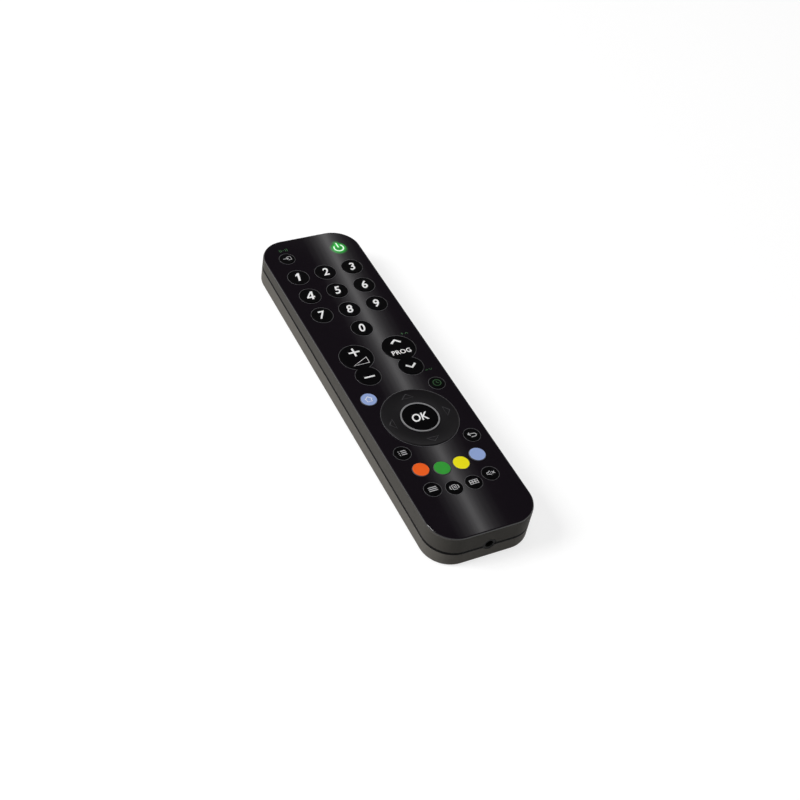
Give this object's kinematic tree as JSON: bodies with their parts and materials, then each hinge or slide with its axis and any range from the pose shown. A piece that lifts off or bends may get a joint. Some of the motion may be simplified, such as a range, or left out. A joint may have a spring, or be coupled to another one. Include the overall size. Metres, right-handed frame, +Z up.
{
  "type": "universal remote control",
  "caption": "Slim handheld remote control with a glossy black face, round keys, a tilting navigation ring and a battery door underneath.",
  "frame": {"origin": "middle of the underside, where the remote lies on a table", "axes": "+X right, +Y towards the infrared window, +Z up out of the key face"},
  "size_m": [0.048, 0.19, 0.017],
  "materials": {
    "glossy_black": "glossy black acrylic face",
    "case_grey": "fine matt grey-brown moulding",
    "key_black": "satin black",
    "key_orange": "satin orange",
    "key_green": "satin green",
    "key_yellow": "satin yellow",
    "key_light_blue": "satin light blue",
    "bright_ring": "satin silver",
    "silicone": "matt silicone",
    "board_green": "solder mask",
    "component_black": "moulded black",
    "tin": "tinned",
    "infrared_black": "infrared-clear dark plastic",
    "lamp_clear": "clear",
    "cell_jacket": "printed jacket over steel"
  },
  "bodies": {
    "case": {"rear_case": "case_grey", "front_case": "case_grey", "face_plate": "glossy_black", "infrared_window": "infrared_black", "circuit_board": "board_green", "keypad_mat": "silicone", "controller_chip": "component_black", "resonator": "tin", "capacitor": "cell_jacket", "power_lamp": "lamp_clear", "infrared_lamp": "lamp_clear", "jack_socket": "component_black", "case_screws": "tin", "battery_left": "cell_jacket", "battery_right": "cell_jacket", "battery_contacts": "tin", "battery_springs": "tin"},
    "key_0": {"key_0": "key_black"},
    "key_1": {"key_1": "key_black"},
    "key_2": {"key_2": "key_black"},
    "key_3": {"key_3": "key_black"},
    "key_4": {"key_4": "key_black"},
    "key_5": {"key_5": "key_black"},
    "key_6": {"key_6": "key_black"},
    "key_7": {"key_7": "key_black"},
    "key_8": {"key_8": "key_black"},
    "key_9": {"key_9": "key_black"},
    "key_source": {"key_source": "key_black"},
    "key_power": {"key_power": "key_black"},
    "key_home": {"key_home": "key_light_blue"},
    "key_timer": {"key_timer": "key_black"},
    "key_list": {"key_list": "key_black"},
    "key_return": {"key_return": "key_black"},
    "key_red": {"key_red": "key_orange"},
    "key_green": {"key_green": "key_green"},
    "key_yellow": {"key_yellow": "key_yellow"},
    "key_blue": {"key_blue": "key_light_blue"},
    "key_options": {"key_options": "key_black"},
    "key_text": {"key_text": "key_black"},
    "key_guide": {"key_guide": "key_black"},
    "key_mute": {"key_mute": "key_black"},
    "key_ok": {"key_ok": "key_black", "ok_ring": "bright_ring"},
    "volume_rocker": {"volume_rocker": "key_black"},
    "programme_rocker": {"programme_rocker": "key_black"},
    "navigation_cushion": {"navigation_cushion": "silicone"},
    "navigation_ring": {"navigation_ring": "key_black"},
    "battery_door": {"battery_door": "case_grey"}
  },
  "joints": [
    {"name": "key_0_press", "type": "slide", "parent": "case", "child": "key_0", "axis": [0, -0.0137, -0.9999], "range_m": [0, 0.0004], "stiffness_N_per_m": 500, "deforming": ["keypad_mat"]},
    {"name": "key_1_press", "type": "slide", "parent": "case", "child": "key_1", "axis": [0, -0.0137, -0.9999], "range_m": [0, 0.0004], "stiffness_N_per_m": 500, "deforming": ["keypad_mat"]},
    {"name": "key_2_press", "type": "slide", "parent": "case", "child": "key_2", "axis": [0, -0.0137, -0.9999], "range_m": [0, 0.0004], "stiffness_N_per_m": 500, "deforming": ["keypad_mat"]},
    {"name": "key_3_press", "type": "slide", "parent": "case", "child": "key_3", "axis": [0, -0.0137, -0.9999], "range_m": [0, 0.0004], "stiffness_N_per_m": 500, "deforming": ["keypad_mat"]},
    {"name": "key_4_press", "type": "slide", "parent": "case", "child": "key_4", "axis": [0, -0.0137, -0.9999], "range_m": [0, 0.0004], "stiffness_N_per_m": 500, "deforming": ["keypad_mat"]},
    {"name": "key_5_press", "type": "slide", "parent": "case", "child": "key_5", "axis": [0, -0.0137, -0.9999], "range_m": [0, 0.0004], "stiffness_N_per_m": 500, "deforming": ["keypad_mat"]},
    {"name": "key_6_press", "type": "slide", "parent": "case", "child": "key_6", "axis": [0, -0.0137, -0.9999], "range_m": [0, 0.0004], "stiffness_N_per_m": 500, "deforming": ["keypad_mat"]},
    {"name": "key_7_press", "type": "slide", "parent": "case", "child": "key_7", "axis": [0, -0.0137, -0.9999], "range_m": [0, 0.0004], "stiffness_N_per_m": 500, "deforming": ["keypad_mat"]},
    {"name": "key_8_press", "type": "slide", "parent": "case", "child": "key_8", "axis": [0, -0.0137, -0.9999], "range_m": [0, 0.0004], "stiffness_N_per_m": 500, "deforming": ["keypad_mat"]},
    {"name": "key_9_press", "type": "slide", "parent": "case", "child": "key_9", "axis": [0, -0.0137, -0.9999], "range_m": [0, 0.0004], "stiffness_N_per_m": 500, "deforming": ["keypad_mat"]},
    {"name": "key_source_press", "type": "slide", "parent": "case", "child": "key_source", "axis": [0, -0.0137, -0.9999], "range_m": [0, 0.0004], "stiffness_N_per_m": 500, "deforming": ["keypad_mat"]},
    {"name": "key_power_press", "type": "slide", "parent": "case", "child": "key_power", "axis": [0, -0.0137, -0.9999], "range_m": [0, 0.0004], "stiffness_N_per_m": 500, "deforming": ["keypad_mat"]},
    {"name": "key_home_press", "type": "slide", "parent": "case", "child": "key_home", "axis": [0, -0.0137, -0.9999], "range_m": [0, 0.0004], "stiffness_N_per_m": 500, "deforming": ["keypad_mat"]},
    {"name": "key_timer_press", "type": "slide", "parent": "case", "child": "key_timer", "axis": [0, -0.0137, -0.9999], "range_m": [0, 0.0004], "stiffness_N_per_m": 500, "deforming": ["keypad_mat"]},
    {"name": "key_list_press", "type": "slide", "parent": "case", "child": "key_list", "axis": [0, -0.0137, -0.9999], "range_m": [0, 0.0004], "stiffness_N_per_m": 500, "deforming": ["keypad_mat"]},
    {"name": "key_return_press", "type": "slide", "parent": "case", "child": "key_return", "axis": [0, -0.0137, -0.9999], "range_m": [0, 0.0004], "stiffness_N_per_m": 500, "deforming": ["keypad_mat"]},
    {"name": "key_red_press", "type": "slide", "parent": "case", "child": "key_red", "axis": [0, -0.0137, -0.9999], "range_m": [0, 0.0004], "stiffness_N_per_m": 500, "deforming": ["keypad_mat"]},
    {"name": "key_green_press", "type": "slide", "parent": "case", "child": "key_green", "axis": [0, -0.0137, -0.9999], "range_m": [0, 0.0004], "stiffness_N_per_m": 500, "deforming": ["keypad_mat"]},
    {"name": "key_yellow_press", "type": "slide", "parent": "case", "child": "key_yellow", "axis": [0, -0.0137, -0.9999], "range_m": [0, 0.0004], "stiffness_N_per_m": 500, "deforming": ["keypad_mat"]},
    {"name": "key_blue_press", "type": "slide", "parent": "case", "child": "key_blue", "axis": [0, -0.0137, -0.9999], "range_m": [0, 0.0004], "stiffness_N_per_m": 500, "deforming": ["keypad_mat"]},
    {"name": "key_options_press", "type": "slide", "parent": "case", "child": "key_options", "axis": [0, -0.0137, -0.9999], "range_m": [0, 0.0004], "stiffness_N_per_m": 500, "deforming": ["keypad_mat"]},
    {"name": "key_text_press", "type": "slide", "parent": "case", "child": "key_text", "axis": [0, -0.0137, -0.9999], "range_m": [0, 0.0004], "stiffness_N_per_m": 500, "deforming": ["keypad_mat"]},
    {"name": "key_guide_press", "type": "slide", "parent": "case", "child": "key_guide", "axis": [0, -0.0137, -0.9999], "range_m": [0, 0.0004], "stiffness_N_per_m": 500, "deforming": ["keypad_mat"]},
    {"name": "key_mute_press", "type": "slide", "parent": "case", "child": "key_mute", "axis": [0, -0.0137, -0.9999], "range_m": [0, 0.0004], "stiffness_N_per_m": 500, "deforming": ["keypad_mat"]},
    {"name": "key_ok_press", "type": "slide", "parent": "case", "child": "key_ok", "axis": [0, -0.0137, -0.9999], "range_m": [0, 0.0004], "stiffness_N_per_m": 500, "deforming": ["keypad_mat"]},
    {"name": "volume_rocker_tilt", "type": "hinge", "parent": "case", "child": "volume_rocker", "pos_m": [-0.0103, 0.00424, 0.01424], "axis": [1, 0, 0], "range_deg": [-1.8, 1.8], "stiffness_Nm_per_rad": 0.1, "deforming": ["keypad_mat"]},
    {"name": "programme_rocker_tilt", "type": "hinge", "parent": "case", "child": "programme_rocker", "pos_m": [0.0103, 0.00424, 0.01424], "axis": [1, 0, 0], "range_deg": [-1.8, 1.8], "stiffness_Nm_per_rad": 0.1, "deforming": ["keypad_mat"]},
    {"name": "navigation_tilt_up_down", "type": "hinge", "parent": "case", "child": "navigation_cushion", "pos_m": [0, -0.0302, 0.01511], "axis": [1, 0, 0], "range_deg": [-1.2, 1.2], "stiffness_Nm_per_rad": 0.2, "deforming": ["keypad_mat"]},
    {"name": "navigation_tilt_left_right", "type": "hinge", "parent": "navigation_cushion", "child": "navigation_ring", "pos_m": [0, -0.0302, 0.01511], "axis": [0, 0.9999, -0.0137], "range_deg": [-1.2, 1.2], "stiffness_Nm_per_rad": 0.2, "deforming": ["keypad_mat"]},
    {"name": "battery_door_hinge", "type": "hinge", "parent": "case", "child": "battery_door", "pos_m": [0, -0.08015, 0], "axis": [-1, 0, 0], "range_deg": [0, 70]}
  ]
}
